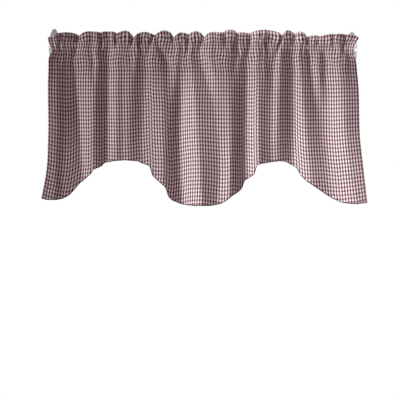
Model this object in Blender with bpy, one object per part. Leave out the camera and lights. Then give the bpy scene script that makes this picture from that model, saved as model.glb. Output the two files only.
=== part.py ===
"""Scalloped window valance, gathered on a plain curtain rod between two wall brackets.

Sizes are in millimetres and become metres when a mesh is made.
X runs along the rod, to the right. Z is up. The wall is the plane Y = 0.
The cloth hangs at negative Y. "Out" is a distance from the rod's axis away from the wall.
"""
import math
from typing import NamedTuple

import bmesh
import bpy
import numpy as np
from mathutils import Matrix

MM = 0.001

# Rod and brackets
ROD_OUT = 60.0            # rod's axis from the wall
ROD_RADIUS = 8.0
ROD_HALF_LENGTH = 505.0
PLATE_MIDDLE = 498.5      # plate's middle from the rod's middle
PLATE_WIDTH = 36.0
PLATE_HEIGHT = 124.0
PLATE_RISE = 6.0          # plate's middle above the rod's axis
PLATE_THICKNESS = 3.5
PLATE_EDGE_BEVEL = 1.2
ARM_WIDTH = 9.0
ARM_HEIGHT = 15.0
ARM_BEVEL = 1.5
CUP_RADIUS = 9.6
CUP_DEPTH = 6.5           # how far the rod's end goes in
CUP_FLOOR = 3.5
ARM_SHORT = 5.0           # how far the arm stops before the rod's axis
FIT_GAP = 0.3             # between the rod and its cup

# Cloth
CLOTH = 2.0               # thickness
STITCH_Z = 15.0           # row of stitches under the ruffled heading
SEAM_Z = -73.0            # row of stitches under the rod pocket
UPPER_Z = -35.0           # heights at which the fold table gives its places
MIDDLE_Z = -211.0
LOWER_Z = -435.0
SIDE_OUT = ((4, 4), (8, 7))   # left and right side hem, each in its upper half and near the hem
FOLD_CHANGE_Z = -150.0    # the folds take their lower form below this height

HEADING_Z = 45.0          # height at which the heading's lobes are measured
LOBE_ROUNDNESS = 0.65     # below 1 for lobes that rise fast from their notches
CLOTH_COLOUR = (0.30, 0.17, 0.18)
PAINT_COLOUR = (0.80, 0.82, 0.86)

# Steps of the mesh
COLUMN_WIDTH = 12.5       # widest step along the rod
HEADING_STEPS = (1.0, 0.5)
POCKET_HEIGHTS = (8.0, 0.0, -14.0, -45.0, -69.0)
SKIRT_STEPS = (0.07, 0.19, 0.33, 0.49, 0.65, 0.81, 0.93, 1.0)
ROUND_STEPS = 32
OVAL_STEPS = 40
SHARP_ANGLE = 35.0


class Fold(NamedTuple):
    """One fold: its rounded crest, then the crease at its right-hand side.

    A place along the rod has three values: just under the rod, half way down, and near the hem.
    How far it stands out has two: in the upper half, and near the hem.
    """

    crest_x: tuple
    crest_out: tuple
    crease_x: tuple
    crease_out: tuple
    crease_turn: float    # 2 for a sharp crease, 0 for a soft one


FOLDS = (
    Fold((-473, -472, -480), (10, 10), (-457, -455, -461), (2, 1), 1.6),
    Fold((-445, -442, -443), (7, 7), (-419, -407, -395), (-7, -5), 1.6),
    Fold((-353, -354, -359), (13, 14), (-315, -313, -314), (-11, -9), 2.0),
    Fold((-283, -282, -279), (0, 1), (-269, -267, -256), (-3, -3), 0.4),
    Fold((-234, -229, -227), (7, 4), (-191, -194, -199), (-11, -6), 1.6),
    Fold((-170, -171, -174), (-2, 1), (-158, -160, -164), (-4, -3), 0.8),
    Fold((-148, -151, -160), (2, 16), (-143, -146, -150), (1, 15), 0.0),
    Fold((-138, -122, -115), (7, 17), (-110, -106, -109), (-4, -3), 1.0),
    Fold((-100, -100, -101), (-1, -5), (-72, -79, -76), (-12, -13), 2.0),
    Fold((-33, -14, -2), (8, 12), (-16, 12, 37), (0, 2), 0.5),
    Fold((33, 88, 94), (11, 17), (142, 137, 140), (-14, -14), 2.0),
    Fold((152, 147, 146), (-8, 12), (160, 156, 155), (-4, 13), 0.0),
    Fold((185, 188, 180), (6, 17), (200, 200, 186), (1, 0), 1.0),
    Fold((204, 204, 196), (1, -1), (226, 227, 227), (-12, -12), 1.8),
    Fold((254, 261, 252), (0, 1), (296, 293, 278), (-16, -13), 2.0),
    Fold((327, 335, 361), (2, 6), (353, 375, 407), (-9, -4), 1.0),
    Fold((440, 472, 490), (14, 18), (468, 500, 512), (3, 8), 0.4),
)


class SideEdge(NamedTuple):
    """The two side hems at one height; the pocket's back sheet stops short of them by the tuck."""

    z: float
    left: float
    right: float
    tuck: float


SIDE_EDGES = (
    SideEdge(40, -513, 516, 0),
    SideEdge(20, -513, 503, 8),
    SideEdge(5, -506, 498, 19),
    SideEdge(-10, -498, 496, 5),
    SideEdge(-30, -506, 504, 3),
    SideEdge(-80, -509, 511, 0),
    SideEdge(-300, -508, 522, 0),
    SideEdge(-400, -512, 534, 0),
    SideEdge(-520, -532, 549, 0),
)


class Level(NamedTuple):
    """The front sheet at one height: how far out it hangs, and how much of each fold shows there."""

    z: float
    out: float
    share: float


FRONT = (
    Level(60, 4, 0.45),
    Level(15, 1, 0.25),
    Level(8, 14.5, 0.35),
    Level(0, 20, 0.50),
    Level(-12, 23, 0.55),
    Level(-35, 22, 0.65),
    Level(-73, 19, 0.80),
    Level(-150, 16, 1.00),
    Level(-435, 13, 1.00),
    Level(-560, 13, 1.00),
)

BACK = (
    Level(8, -13.5, 0.25),
    Level(0, -16, 0.25),
    Level(-14, -15, 0.30),
    Level(-45, -2, 0.45),
    Level(-69, 15, 0.75),
)


class Lobe(NamedTuple):
    """One lobe of the ruffled top edge: how high it rises, and the notch at its right-hand side."""

    top_z: float
    notch_x: float
    notch_z: float


LEFT_CORNER = (-513, 20)
LOBES = (
    Lobe(49, -408, 41),
    Lobe(54, -280, 47),
    Lobe(55, -232, 32),
    Lobe(52, -151, 37),
    Lobe(58, -94, 34),
    Lobe(53, -44, 48),
    Lobe(57, 1, 36),
    Lobe(61, 140, 51),
    Lobe(61, 265, 42),
    Lobe(63, 303, 52),
    Lobe(54, 391, 44),
    Lobe(53, 473, 50),
    Lobe(50, 516, 38),
)


class HemPoint(NamedTuple):
    """A point of the cut lower edge: how far along the flat cloth from its left side, and its height."""

    along: float
    z: float


HEM = (
    HemPoint(0, -500),
    HemPoint(38, -506),
    HemPoint(75, -497),
    HemPoint(112, -457),
    HemPoint(150, -426),
    HemPoint(180, -398),
    HemPoint(220, -379),
    HemPoint(290, -372),
    HemPoint(335, -376),
    HemPoint(375, -399),
    HemPoint(412, -439),
    HemPoint(455, -471),
    HemPoint(480, -504),
    HemPoint(515, -517),
    HemPoint(600, -519),
    HemPoint(645, -514),
    HemPoint(685, -491),
    HemPoint(730, -459),
    HemPoint(765, -425),
    HemPoint(797, -402),
    HemPoint(812, -379),
    HemPoint(845, -373),
    HemPoint(895, -369),
    HemPoint(930, -376),
    HemPoint(985, -429),
    HemPoint(1035, -471),
    HemPoint(1090, -502),
    HemPoint(1145, -510),
    HemPoint(1185, -505),
)


class Gather(NamedTuple):
    """One short pucker: it starts in the heading and runs out in the cloth under the rod."""

    start_x: float
    start_z: float
    end_x: float
    end_z: float
    deep: float
    wide: float


GATHERS = (
    Gather(-372, 40, -356, -110, 5, 10),
    Gather(-241, 40, -238, -90, 4, 9),
    Gather(-153, 35, -114, -70, 6, 11),
    Gather(40, 25, 48, -100, 4, 11),
    Gather(106, 40, 102, -110, 4, 9),
    Gather(216, 35, 198, -50, 4, 10),
    Gather(427, 35, 415, -100, 4, 11),
)


def smooth(low, high, value):
    """0 below low, 1 above high, and a soft step between."""
    t = np.clip((value - low) / (high - low), 0.0, 1.0)
    return t * t * (3.0 - 2.0 * t)


def through(places, values, where):
    """Soft curve through values given at places, which rise; straight on past both ends."""
    places = np.asarray(places, float)
    values = np.asarray(values, float)
    slopes = np.gradient(values, places)
    i = np.clip(np.searchsorted(places, where) - 1, 0, len(places) - 2)
    step = places[i + 1] - places[i]
    t = (np.clip(where, places[0], places[-1]) - places[i]) / step
    bend = (
        values[i] * (2 * t**3 - 3 * t**2 + 1)
        + values[i + 1] * (3 * t**2 - 2 * t**3)
        + slopes[i] * step * (t**3 - 2 * t**2 + t)
        + slopes[i + 1] * step * (t**3 - t**2)
    )
    before = np.minimum(where - places[0], 0.0) * slopes[0]
    after = np.maximum(where - places[-1], 0.0) * slopes[-1]
    return bend + before + after


def by_height(table, column, z):
    """One column of a table whose rows go down the cloth, read at height z."""
    rows = sorted(table, key=lambda row: row.z)
    return through([row.z for row in rows], [getattr(row, column) for row in rows], z)


def line_x(places, z):
    """Place along the rod of a fold line given at the upper, middle and lower heights."""
    z = np.minimum(z, UPPER_Z)
    upper, middle, lower = UPPER_Z, MIDDLE_Z, LOWER_Z
    return (
        places[..., 0] * (z - middle) * (z - lower) / ((upper - middle) * (upper - lower))
        + places[..., 1] * (z - upper) * (z - lower) / ((middle - upper) * (middle - lower))
        + places[..., 2] * (z - upper) * (z - middle) / ((lower - upper) * (lower - middle))
    )


def fold_lines():
    """Every crest and crease from left to right; the side hems are the first and last line."""
    side = (0.0, 0.0, 0.0)
    lines = [(side, SIDE_OUT[0], 1.0)]
    for fold in FOLDS:
        lines.append((fold.crest_x, fold.crest_out, 0.0))
        lines.append((fold.crease_x, fold.crease_out, fold.crease_turn))
    lines.append((side, SIDE_OUT[1], 1.0))
    return tuple(np.array(part, float) for part in zip(*lines))


def columns():
    """Steps of the mesh along the rod: the fold line at their left, and how far on to the next."""
    places = fold_lines()[0][:, 1]
    places[0] = by_height(SIDE_EDGES, "left", MIDDLE_Z)
    places[-1] = by_height(SIDE_EDGES, "right", MIDDLE_Z)
    line, part = [], []
    for i, width in enumerate(np.diff(places)):
        steps = max(2, math.ceil(width / COLUMN_WIDTH))
        line += [i] * steps
        part += [k / steps for k in range(steps)]
    return np.array(line + [len(places) - 2]), np.array(part + [1.0])


def drape(line, part, z, tuck=0.0):
    """Place along the rod, and height above the mean sheet, of points between two fold lines."""
    places, out, turn = fold_lines()
    low = smooth(LOWER_Z, FOLD_CHANGE_Z, z)
    ends = []
    for k in (line, line + 1):
        x = line_x(places[k], z)
        x = np.where(k == 0, by_height(SIDE_EDGES, "left", z) + tuck, x)
        x = np.where(k == len(places) - 1, by_height(SIDE_EDGES, "right", z) - tuck, x)
        ends.append((x, out[k, 0] * low + out[k, 1] * (1.0 - low)))
    (x0, out0), (x1, out1) = ends
    rise = out1 - out0
    fold = (
        out0
        + rise * (3 * part**2 - 2 * part**3)
        + rise * turn[line] * (part**3 - 2 * part**2 + part)
        + rise * turn[line + 1] * (part**3 - part**2)
    )
    return x0 + (x1 - x0) * part, fold


def gathers(x, z):
    """Depth of the short puckers under the heading."""
    depth = np.zeros(np.broadcast(x, z).shape)
    for row in GATHERS:
        t = (row.start_z - z) / (row.start_z - row.end_z)
        middle = row.start_x + (row.end_x - row.start_x) * np.clip(t, -0.3, 1.2)
        fade = smooth(-0.5, 0.2, t) * (1.0 - smooth(0.5, 1.1, t))
        depth += row.deep * fade * np.exp(-(((x - middle) / row.wide) ** 2))
    return depth


def front_sheet(line, part, z):
    """Points of the front sheet's middle surface, as x, out and z."""
    x, fold = drape(line, part, z)
    out = by_height(FRONT, "out", z) + by_height(FRONT, "share", z) * fold - gathers(x, z)
    return np.stack([x, out, z + 0.0 * x], axis=-1)


def back_sheet(line, part, z):
    """Points of the pocket's back sheet."""
    x, fold = drape(line, part, z, by_height(SIDE_EDGES, "tuck", z))
    out = by_height(BACK, "out", z) + by_height(BACK, "share", z) * fold
    return np.stack([x, out, z + 0.0 * x], axis=-1)


def top_edge(x):
    """Height of the ruffled top edge: lobes that meet in notches."""
    notch_x = [LEFT_CORNER[0]] + [lobe.notch_x for lobe in LOBES]
    notch_z = [LEFT_CORNER[1]] + [lobe.notch_z for lobe in LOBES]
    i = np.clip(np.searchsorted(notch_x, x) - 1, 0, len(LOBES) - 1)
    left, right = np.take(notch_x, i), np.take(notch_x, i + 1)
    t = np.clip((x - left) / (right - left), 0.0, 1.0)
    base = np.take(notch_z, i) * (1.0 - t) + np.take(notch_z, i + 1) * t
    top = np.take([lobe.top_z for lobe in LOBES], i)
    return base + (top - base) * np.sin(math.pi * t) ** LOBE_ROUNDNESS


def lower_edge(line, part):
    """Height of the scalloped edge, from each column's place on the flat cloth."""
    points = front_sheet(line, part, np.full(len(line), LOWER_Z))
    steps = np.hypot(np.diff(points[:, 0]), np.diff(points[:, 1]))
    along = np.concatenate([[0.0], np.cumsum(steps)])
    return through([point.along for point in HEM], [point.z for point in HEM], along)


def new_object(name, mesh, colour, roughness):
    """Put a mesh in the scene as an object with its own material."""
    material = bpy.data.materials.new(name)
    material.use_nodes = True
    shader = material.node_tree.nodes["Principled BSDF"]
    shader.inputs["Base Color"].default_value = (*colour, 1.0)
    shader.inputs["Roughness"].default_value = roughness
    mesh.materials.append(material)
    piece = bpy.data.objects.new(name, mesh)
    bpy.context.scene.collection.objects.link(piece)
    return piece


def add_row(bm, row):
    """Vertices of one row of a grid, from an array of x, out and z."""
    return [bm.verts.new((x * MM, -(ROD_OUT + out) * MM, z * MM)) for x, out, z in row]


def skin(bm, rows):
    """Faces between successive rows of vertices."""
    for upper, lower in zip(rows, rows[1:]):
        for i in range(len(upper) - 1):
            bm.faces.new((upper[i], lower[i], lower[i + 1], upper[i + 1]))


def make_valance():
    """The cloth: a ruffled heading, a pocket of two sheets, and a skirt with a scalloped edge."""
    line, part = columns()
    top = top_edge(drape(line, part, np.full(len(line), float(HEADING_Z)))[0])
    hem = lower_edge(line, part)
    heading = [STITCH_Z + step * (top - STITCH_Z) for step in HEADING_STEPS]
    pocket = [np.full(len(line), z) for z in (STITCH_Z, *POCKET_HEIGHTS, SEAM_Z)]
    skirt = [SEAM_Z + step * (hem - SEAM_Z) for step in SKIRT_STEPS]
    bm = bmesh.new()
    front = [add_row(bm, front_sheet(line, part, z)) for z in heading + pocket + skirt]
    skin(bm, front)
    first = len(heading)
    last = first + len(pocket) - 1
    back = [add_row(bm, back_sheet(line, part, z)) for z in pocket[1:-1]]
    skin(bm, [front[first], *back, front[last]])
    mesh = bpy.data.meshes.new("valance")
    bm.to_mesh(mesh)
    bm.free()
    valance = new_object("valance", mesh, CLOTH_COLOUR, 0.9)
    sheet = valance.modifiers.new("cloth", "SOLIDIFY")
    sheet.solidify_mode = "NON_MANIFOLD"
    sheet.nonmanifold_thickness_mode = "FIXED"
    sheet.thickness = CLOTH * MM
    sheet.offset = 0.0
    return valance


def cylinder_along_rod(bm, radius, low_x, high_x):
    """Closed cylinder about the rod's axis."""
    ends = bmesh.ops.create_cone(
        bm,
        cap_ends=True,
        segments=ROUND_STEPS,
        radius1=radius * MM,
        radius2=radius * MM,
        depth=(high_x - low_x) * MM,
    )["verts"]
    turned = Matrix.Rotation(math.pi / 2, 3, "Y")
    bmesh.ops.rotate(bm, verts=ends, cent=(0, 0, 0), matrix=turned)
    middle = (low_x + high_x) / 2
    bmesh.ops.translate(bm, verts=ends, vec=(middle * MM, -ROD_OUT * MM, 0))


def finish_mesh(bm, name):
    """Mesh of a hard piece, its round faces smooth and its corners sharp."""
    mesh = bpy.data.meshes.new(name)
    bm.to_mesh(mesh)
    bm.free()
    mesh.shade_smooth()
    mesh.set_sharp_from_angle(angle=math.radians(SHARP_ANGLE))
    return mesh


def make_rod():
    """The plain round rod."""
    bm = bmesh.new()
    cylinder_along_rod(bm, ROD_RADIUS, -ROD_HALF_LENGTH, ROD_HALF_LENGTH)
    return new_object("rod", finish_mesh(bm, "rod"), PAINT_COLOUR, 0.35)


def wall_plate(side):
    """Oval plate against the wall, its front rim rounded."""
    bm = bmesh.new()
    rim = bmesh.ops.create_circle(bm, cap_ends=True, segments=OVAL_STEPS, radius=1.0)["verts"]
    bmesh.ops.scale(bm, verts=rim, vec=(PLATE_WIDTH / 2 * MM, PLATE_HEIGHT / 2 * MM, 1))
    upright = Matrix.Rotation(math.pi / 2, 3, "X")
    bmesh.ops.rotate(bm, verts=rim, cent=(0, 0, 0), matrix=upright)
    bmesh.ops.translate(bm, verts=rim, vec=(side * PLATE_MIDDLE * MM, 0, PLATE_RISE * MM))
    back = bm.faces[:]
    raised = bmesh.ops.extrude_face_region(bm, geom=back, use_keep_orig=True)["geom"]
    front = [item for item in raised if isinstance(item, bmesh.types.BMVert)]
    bmesh.ops.translate(bm, verts=front, vec=(0, -PLATE_THICKNESS * MM, 0))
    edges = [item for item in raised if isinstance(item, bmesh.types.BMEdge)]
    bmesh.ops.bevel(bm, geom=edges, offset=PLATE_EDGE_BEVEL * MM, segments=2, affect="EDGES")
    bmesh.ops.recalc_face_normals(bm, faces=bm.faces)
    return finish_mesh(bm, "wall plate")


def arm(side):
    """Square arm from the plate to the cup, its long edges rounded."""
    bm = bmesh.new()
    box = bmesh.ops.create_cube(bm, size=1.0)["verts"]
    length = ROD_OUT - ARM_SHORT - PLATE_THICKNESS / 2
    bmesh.ops.scale(bm, verts=box, vec=(ARM_WIDTH * MM, length * MM, ARM_HEIGHT * MM))
    middle = (side * arm_middle() * MM, -(PLATE_THICKNESS / 2 + length / 2) * MM, 0)
    bmesh.ops.translate(bm, verts=box, vec=middle)
    corners = [edge for edge in bm.edges if edge.calc_length() > length / 2 * MM]
    bmesh.ops.bevel(bm, geom=corners, offset=ARM_BEVEL * MM, segments=2, affect="EDGES")
    return finish_mesh(bm, "arm")


def arm_middle():
    """Distance of the arm and of the cup's middle from the rod's middle."""
    return ROD_HALF_LENGTH + FIT_GAP + CUP_FLOOR - (CUP_DEPTH + CUP_FLOOR) / 2


def cup(side, radius, floor):
    """Cylinder about the rod's end: the cup, or the bore that is cut from it when floor is 0."""
    inner = side * (ROD_HALF_LENGTH + FIT_GAP - CUP_DEPTH - (0 if floor else CUP_DEPTH))
    outer = side * (ROD_HALF_LENGTH + FIT_GAP + floor)
    bm = bmesh.new()
    cylinder_along_rod(bm, radius, min(inner, outer), max(inner, outer))
    return finish_mesh(bm, "cup")


def join(target, mesh, operation):
    """Boolean of the target with another mesh, applied."""
    tool = bpy.data.objects.new("tool", mesh)
    bpy.context.scene.collection.objects.link(tool)
    tool.hide_render = True
    tool.display_type = "WIRE"
    step = target.modifiers.new(operation.lower(), "BOOLEAN")
    step.operation = operation
    step.object = tool
    step.solver = "EXACT"
    bpy.context.view_layer.objects.active = target
    bpy.ops.object.modifier_apply(modifier=step.name)
    bpy.data.objects.remove(tool)


def make_bracket(name, side):
    """One bracket: wall plate, arm, and a cup that takes the rod's end."""
    bracket = new_object(name, wall_plate(side), PAINT_COLOUR, 0.4)
    join(bracket, arm(side), "UNION")
    join(bracket, cup(side, CUP_RADIUS, CUP_FLOOR), "UNION")
    join(bracket, cup(side, ROD_RADIUS + FIT_GAP, 0), "DIFFERENCE")
    return bracket


def clear_scene():
    """Remove the objects of the start-up scene."""
    for piece in list(bpy.data.objects):
        bpy.data.objects.remove(piece)


def main():
    clear_scene()
    make_valance()
    make_rod()
    make_bracket("bracket_left", -1)
    make_bracket("bracket_right", 1)


main()
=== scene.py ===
"""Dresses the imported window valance: checked cloth on its folds, sewing, rod and brackets, and a studio.

Cloth sizes are in millimetres, as a maker would measure them, and become metres when a mesh is made.
X runs along the rod, Z is up and the wall is the plane Y = 0. "Out" is a distance from the rod's axis
away from the wall, so a point stands at Y = -(ROD_OUT + out).
"""
import logging
import math
from dataclasses import dataclass
from enum import Enum
from typing import Any, Callable, Mapping, NamedTuple, Optional, Sequence, Union

import bpy
import numpy as np
from bpy.types import Material
from bpy.types import NodeSocket as Socket
from bpy.types import Object as Piece
from mathutils import Matrix, Vector
from numpy import ndarray as Array


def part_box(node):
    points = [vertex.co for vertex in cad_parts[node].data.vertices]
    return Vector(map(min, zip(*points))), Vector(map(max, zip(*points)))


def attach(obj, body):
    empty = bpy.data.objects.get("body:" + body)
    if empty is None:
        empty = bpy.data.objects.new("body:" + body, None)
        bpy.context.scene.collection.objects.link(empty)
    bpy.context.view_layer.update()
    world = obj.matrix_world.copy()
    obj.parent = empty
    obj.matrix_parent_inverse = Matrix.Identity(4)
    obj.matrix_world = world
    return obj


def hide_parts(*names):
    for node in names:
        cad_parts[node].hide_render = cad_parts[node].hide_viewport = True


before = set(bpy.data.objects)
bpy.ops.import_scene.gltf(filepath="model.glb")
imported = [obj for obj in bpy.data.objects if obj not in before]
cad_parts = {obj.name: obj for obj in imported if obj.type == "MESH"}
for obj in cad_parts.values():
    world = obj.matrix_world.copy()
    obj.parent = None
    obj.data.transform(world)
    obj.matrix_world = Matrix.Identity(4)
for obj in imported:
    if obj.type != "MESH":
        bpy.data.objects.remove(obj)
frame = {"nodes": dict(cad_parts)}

MM = 0.001
TURN = 2 * math.pi
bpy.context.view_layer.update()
LOG = logging.getLogger("valance")

# The frame that carries the cloth
ROD_OUT = 60.0
STITCH_Z = 15.0
SEAM_Z = -73.0

# Heights at which the fold table gives its places
UPPER_Z = -35.0
MIDDLE_Z = -211.0
LOWER_Z = -435.0

# The top edge's lobes are laid out at this height, and a smaller power makes them fuller
HEADING_Z = 45.0
LOBE_POWER = 0.65

# Above this height, and as far as this from the middle, the threads run straight up
STRAIGHT_Z = -60.0
STRAIGHT_TO = 455.0

# The cloth lies on the rod where its folds go deepest
ROD_FACE = 9.3
ROD_REACH = 14.0
PRESS_SOFTNESS = 1.6

# Distances out of the two side hems, at the three heights of the fold table
SIDE_OUT = ((13, 13, 10), (-9, 4, 12))


def table(kind: type, *rows: tuple) -> tuple:
    """Table of rows of one kind, whose fields name the columns.

    Args:
        kind: the rows' class.
        rows: values of each row.

    Returns:
        The table.
    """
    return tuple(kind(*row) for row in rows)


class Line(NamedTuple):
    """One line down a fold: a rounded crest or a crease.

    It has three places along the rod and three distances out from the mean sheet: just under the rod,
    half way down, and near the hem. Steepness beside it is a multiple of that face's mean slope.
    """

    x: tuple
    out: tuple
    before: float
    after: float


LINES = table(
    Line,
    ((-486, -482, -484), (8, 12, 10), 0.7, 0.7),
    ((-458, -457, -464), (0, 3, 2), 1.3, 1.0),
    ((-444, -443, -446), (-3, -1, 0), 0.6, 0.8),
    ((-426, -410, -394), (-9, -12, -9), 1.3, 1.5),
    ((-352, -359, -356), (6, 9, 10), 0.5, 0.5),
    ((-314, -314, -312), (-10, -10, -7), 1.2, 1.7),
    ((-278, -280, -276), (6, 6, 3), 0.3, 1.2),
    ((-266, -265, -262), (4, 3, -1), 1.0, 1.0),
    ((-230, -242, -240), (7, 5, 0), 0.4, 0.5),
    ((-192, -196, -200), (-4, -7, -7), 0.6, 0.6),
    ((-164, -160, -158), (0, -1, -3), 0.7, 0.5),
    ((-140, -132, -128), (-3, 2, 2), 0.7, 0.4),
    ((-113, -114, -110), (-11, -1, -3), 0.9, 1.0),
    ((-86, -98, -94), (-3, -6, -10), 0.6, 1.2),
    ((-64, -76, -72), (-6, -18, -22), 1.0, 0.7),
    ((-35, -20, -4), (-1, 16, 22), 0.5, 1.0),
    ((-12, 40, 58), (-7, 8, 6), 0.8, 0.6),
    ((26, 62, 74), (12, 9, 10), 0.5, 0.8),
    ((84, 91, 92), (11, 12, 17), 0.5, 0.4),
    ((149, 142, 142), (-5, -12, -12), 1.1, 1.0),
    ((183, 186, 190), (8, 11, 13), 0.3, 0.6),
    ((206, 208, 212), (6, 4, 4), 0.7, 1.0),
    ((231, 229, 228), (-5, -1, -2), 1.3, 0.9),
    ((255, 250, 250), (6, 4, -3), 0.4, 0.6),
    ((297, 298, 300), (-12, -17, -18), 0.9, 0.6),
    ((322, 336, 362), (-1, 0, 3), 0.4, 0.5),
    ((356, 384, 408), (-14, -13, -5), 1.0, 0.7),
    ((388, 400, 418), (-4, -14, -6), 0.6, 0.6),
    ((414, 412, 428), (-5, -13, -6), 0.6, 0.6),
    ((455, 466, 498), (5, 12, 13), 0.5, 0.5),
)


class SideEdge(NamedTuple):
    """The two side hems at one height; the pocket's back sheet stops short of them by the tuck."""

    z: float
    left: float
    right: float
    tuck: float


SIDE_EDGES = table(
    SideEdge,
    (40, -513, 516, 0),
    (20, -513, 503, 8),
    (5, -506, 498, 19),
    (-10, -498, 496, 5),
    (-30, -506, 504, 3),
    (-80, -509, 511, 0),
    (-300, -508, 522, 0),
    (-400, -512, 534, 0),
    (-520, -532, 549, 0),
)


class Level(NamedTuple):
    """One sheet at one height: how far out it hangs, and how much of each fold shows there."""

    z: float
    out: float
    share: float


FRONT = table(
    Level,
    (60, 6, 0.90),
    (40, 6.5, 0.85),
    (15, 9, 0.75),
    (8, 13, 0.76),
    (0, 17, 0.80),
    (-12, 19, 0.85),
    (-35, 19.5, 0.90),
    (-73, 18, 0.95),
    (-150, 16, 1.00),
    (-435, 13, 1.00),
    (-560, 13, 1.00),
)

BACK = table(
    Level,
    (15, 8.2, 0.75),
    (8, -12.5, 0.25),
    (0, -16, 0.25),
    (-14, -15, 0.30),
    (-45, -2, 0.55),
    (-69, 15, 0.93),
    (-73, 17.2, 0.95),
    (-76, 17.0, 0.95),
)


class Lobe(NamedTuple):
    """One lobe of the ruffled top edge: how high it rises, and the notch at its right-hand side."""

    top_z: float
    notch_x: float
    notch_z: float


LEFT_CORNER = (-513, 22)
LOBES = table(
    Lobe,
    (34, -498, 33),
    (50, -408, 40),
    (54, -341, 51),
    (55, -283, 48),
    (57, -232, 31),
    (54, -158, 43),
    (60, -95, 33),
    (54, -48, 48),
    (58, 3, 38),
    (55, 66, 54),
    (63, 112, 53),
    (55, 153, 52),
    (64, 263, 46),
    (64, 302, 53),
    (60, 344, 43),
    (50, 386, 45),
    (54, 488, 51),
    (49, 516, 40),
)


class HemPoint(NamedTuple):
    """A point of the cut lower edge, which jumps where one fold hangs in front of the next."""

    x: float
    z: float


HEM = table(
    HemPoint,
    (-528, -501),
    (-512, -506),
    (-482, -506),
    (-460, -502),
    (-438, -491),
    (-420, -471),
    (-404, -450),
    (-364, -417),
    (-359, -405),
    (-331, -393),
    (-322, -381),
    (-290, -375),
    (-254, -372),
    (-210, -375),
    (-198, -382),
    (-171, -390),
    (-165, -421),
    (-139, -444),
    (-117, -463),
    (-112, -488),
    (-98, -503),
    (-62, -517),
    (-20, -521),
    (30, -520),
    (62, -514),
    (82, -503),
    (102, -486),
    (121, -474),
    (136, -458),
    (141, -436),
    (175, -414),
    (181, -384),
    (197, -379),
    (258, -369),
    (278, -371),
    (316, -391),
    (325, -413),
    (346, -435),
    (396, -468),
    (430, -490),
    (466, -506),
    (512, -510),
    (549, -504),
)


class Crease(NamedTuple):
    """One short fold that fades at both ends: a gather down the cloth, or a packing crease across it."""

    start_x: float
    start_z: float
    end_x: float
    end_z: float
    deep: float
    wide: float


GATHERS = table(
    Crease,
    (-372, 40, -358, -120, 6, 9),
    (-241, 40, -238, -90, 4, 9),
    (-153, 35, -114, -70, 6, 11),
    (40, 25, 48, -100, 2, 9),
    (106, 40, 102, -110, 4, 9),
    (216, 35, 198, -50, 4, 10),
    (400, 35, 406, -140, 5, 10),
    (370, 10, 392, -190, -5, 13),
)

HEADING_GATHERS = table(
    Crease,
    (-470, 60, -474, -20, 8, 5),
    (-410, 62, -424, -30, 13, 5),
    (-341, 62, -338, 4, 10, 4.5),
    (-290, 62, -286, -8, 12, 4),
    (-234, 62, -238, 0, 13, 4.5),
    (-212, 60, -206, -14, 8, 4),
    (-160, 64, -178, -6, 12, 5),
    (-104, 66, -98, -4, 13, 4.5),
    (-44, 62, -56, -12, 13, 4.5),
    (4, 62, -10, -8, 12, 6),
    (72, 62, 77, -10, 10, 5),
    (112, 66, 118, -30, 13, 5),
    (158, 66, 148, -30, 12, 5),
    (216, 60, 212, -10, 8, 6),
    (262, 66, 246, -24, 18, 5),
    (306, 64, 296, -6, 13, 4.5),
    (340, 62, 354, -10, 12, 4),
    (384, 62, 376, -14, 12, 4.5),
    (432, 60, 428, 0, 8, 4.5),
    (470, 60, 466, -20, 12, 5),
)

PRESSES = table(
    Crease,
    (-318, -232, -262, -236, 2.0, 4),
    (-60, -250, 40, -262, 0.5, 9),
    (330, -268, 470, -250, 0.5, 9),
)

# Shares of a short fold's length between which it starts and ends, and between which it leans
DOWN_FADES = (-0.5, 0.2, 0.5, 1.1)
ACROSS_FADES = (-0.1, 0.2, 0.8, 1.1)
LEANS = (-0.3, 1.2)

# Share of the spacing of copied patterns over which their direction is read
LOOK_AHEAD = 0.3

# Places nearer than this count as one when a pattern's points are sorted
SORT_STEP = 0.001 * MM

# Steps of the cloth's mesh
COLUMN_WIDTH = 3.3
SOFTEN_PASSES = 3
EDGE_SOFTEN_PASSES = 1
EDGE_ROUNDS = 9
POCKET_FRONT_Z = (15, 12.5, 10, 7.5, 4, 0, -4, -9, -14, -20, -27, -34, -41, -48, -55, -62, -68, -71, -73)
POCKET_BACK_Z = (-76, -73, -70, -65, -57, -49, -41, -32, -23, -14, -7, 0, 4, 8, 11, 13, 15)
HEADING_STEPS = 11
TOP_FOLD_STEPS = 3
SKIRT_STEPS = 66


def smooth(low: float, high: float, value: Array) -> Array:
    """Soft step.

    Args:
        low: where the step starts.
        high: where it ends.
        value: numbers to read it at.

    Returns:
        0 below low, 1 above high, and a soft rise between.
    """
    t = np.clip((np.asarray(value, float) - low) / (high - low), 0.0, 1.0)
    return t * t * (3.0 - 2.0 * t)


def cubic(values: tuple[Any, Any], slopes: tuple[Any, Any], t: Array) -> Array:
    """Soft curve between two values.

    Args:
        values: value at each end.
        slopes: slope at each end, for a span of 1.
        t: share of the span passed.

    Returns:
        The curve's values there.
    """
    square, cube = t**2, t**3
    rise = (values[1] - values[0]) * (3 * square - 2 * cube)
    return values[0] + rise + slopes[0] * (cube - 2 * square + t) + slopes[1] * (cube - square)


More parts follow.
